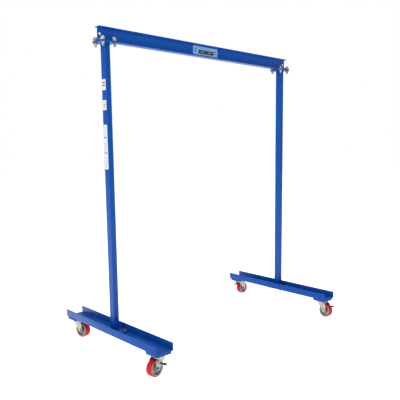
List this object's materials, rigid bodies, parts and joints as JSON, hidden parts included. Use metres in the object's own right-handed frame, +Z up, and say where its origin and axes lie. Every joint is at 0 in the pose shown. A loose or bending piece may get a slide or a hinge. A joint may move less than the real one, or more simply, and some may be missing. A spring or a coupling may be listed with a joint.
{
  "type": "portable gantry crane",
  "caption": "Fixed-height portable gantry crane: I-beam clamped on two uprights, channel bases and braked swivel casters.",
  "frame": {"origin": "on the floor, midway between the four kingpins and under the middle of the beam", "axes": "+X along the beam, +Y along the bases towards the rear, +Z up"},
  "size_m": [2.1923, 1.3602, 2.5241],
  "materials": {
    "blue_paint": "glossy powder coat",
    "zinc_plate": "bright zinc plating",
    "cast_core": "grey painted casting",
    "red_tread": "smooth moulded polyurethane",
    "bearing_steel": "ground steel",
    "plate_face": "printed sheet, pale blue",
    "label_face": "printed vinyl"
  },
  "bodies": {
    "root": {"beam_clips": "zinc_plate", "capacity_plate": "plate_face", "caster_bolts": "zinc_plate", "caster_top_plates": "zinc_plate", "clamp_bolts": "zinc_plate", "clamp_nuts": "zinc_plate", "clamp_washers": "zinc_plate", "foot_bolts": "zinc_plate", "foot_nuts": "zinc_plate", "foot_washers": "zinc_plate", "i_beam": "blue_paint", "kingpins": "zinc_plate", "left_base_channel": "blue_paint", "left_caster_pads": "blue_paint", "left_foot_plate": "blue_paint", "left_top_plate": "blue_paint", "left_upright": "blue_paint", "right_base_channel": "blue_paint", "right_caster_pads": "blue_paint", "right_foot_plate": "blue_paint", "right_top_plate": "blue_paint", "right_upright": "blue_paint", "swivel_bearings": "bearing_steel", "upright_labels": "label_face"},
    "left_front_fork": {"left_front_fork": "zinc_plate", "left_front_axle": "zinc_plate", "left_front_axle_nut": "zinc_plate"},
    "left_front_wheel": {"left_front_wheel_core": "cast_core", "left_front_wheel_tread": "red_tread", "left_front_wheel_bearing": "bearing_steel"},
    "left_front_brake": {"left_front_brake_lever": "zinc_plate", "left_front_brake_pin": "zinc_plate"},
    "left_rear_fork": {"left_rear_fork": "zinc_plate", "left_rear_axle": "zinc_plate", "left_rear_axle_nut": "zinc_plate"},
    "left_rear_wheel": {"left_rear_wheel_core": "cast_core", "left_rear_wheel_tread": "red_tread", "left_rear_wheel_bearing": "bearing_steel"},
    "left_rear_brake": {"left_rear_brake_lever": "zinc_plate", "left_rear_brake_pin": "zinc_plate"},
    "right_front_fork": {"right_front_fork": "zinc_plate", "right_front_axle": "zinc_plate", "right_front_axle_nut": "zinc_plate"},
    "right_front_wheel": {"right_front_wheel_core": "cast_core", "right_front_wheel_tread": "red_tread", "right_front_wheel_bearing": "bearing_steel"},
    "right_front_brake": {"right_front_brake_lever": "zinc_plate", "right_front_brake_pin": "zinc_plate"},
    "right_rear_fork": {"right_rear_fork": "zinc_plate", "right_rear_axle": "zinc_plate", "right_rear_axle_nut": "zinc_plate"},
    "right_rear_wheel": {"right_rear_wheel_core": "cast_core", "right_rear_wheel_tread": "red_tread", "right_rear_wheel_bearing": "bearing_steel"},
    "right_rear_brake": {"right_rear_brake_lever": "zinc_plate", "right_rear_brake_pin": "zinc_plate"}
  },
  "joints": [
    {"name": "left_front_swivel", "type": "hinge", "parent": "root", "child": "left_front_fork", "pos_m": [-0.987, -0.587, 0.1422], "axis": [0, 0, 1], "continuous": true},
    {"name": "left_front_roll", "type": "hinge", "parent": "left_front_fork", "child": "left_front_wheel", "pos_m": [-1.03033, -0.59464, 0.0635], "axis": [0.1736, -0.9848, 0], "continuous": true},
    {"name": "left_front_brake_release", "type": "hinge", "parent": "left_front_fork", "child": "left_front_brake", "pos_m": [-1.02738, -0.59412, 0.1085], "axis": [0.1736, -0.9848, 0], "range_deg": [0, 50]},
    {"name": "left_rear_swivel", "type": "hinge", "parent": "root", "child": "left_rear_fork", "pos_m": [-0.987, 0.587, 0.1422], "axis": [0, 0, 1], "continuous": true},
    {"name": "left_rear_roll", "type": "hinge", "parent": "left_rear_fork", "child": "left_rear_wheel", "pos_m": [-0.97635, 0.54431, 0.0635], "axis": [0.9703, 0.2419, 0], "continuous": true},
    {"name": "left_rear_brake_release", "type": "hinge", "parent": "left_rear_fork", "child": "left_rear_brake", "pos_m": [-0.97708, 0.54722, 0.1085], "axis": [0.9703, 0.2419, 0], "range_deg": [-50, 0]},
    {"name": "right_front_swivel", "type": "hinge", "parent": "root", "child": "right_front_fork", "pos_m": [0.987, -0.587, 0.1422], "axis": [0, 0, 1], "continuous": true},
    {"name": "right_front_roll", "type": "hinge", "parent": "right_front_fork", "child": "right_front_wheel", "pos_m": [0.98546, -0.63097, 0.0635], "axis": [0.9994, -0.0349, 0], "continuous": true},
    {"name": "right_front_brake_release", "type": "hinge", "parent": "right_front_fork", "child": "right_front_brake", "pos_m": [0.98557, -0.62797, 0.1085], "axis": [0.9994, -0.0349, 0], "range_deg": [-50, 0]},
    {"name": "right_rear_swivel", "type": "hinge", "parent": "root", "child": "right_rear_fork", "pos_m": [0.987, 0.587, 0.1422], "axis": [0, 0, 1], "continuous": true},
    {"name": "right_rear_roll", "type": "hinge", "parent": "right_rear_fork", "child": "right_rear_wheel", "pos_m": [1.03089, 0.59007, 0.0635], "axis": [-0.0698, 0.9976, 0], "continuous": true},
    {"name": "right_rear_brake_release", "type": "hinge", "parent": "right_rear_fork", "child": "right_rear_brake", "pos_m": [1.0279, 0.58986, 0.1085], "axis": [-0.0698, 0.9976, 0], "range_deg": [0, 50]}
  ]
}
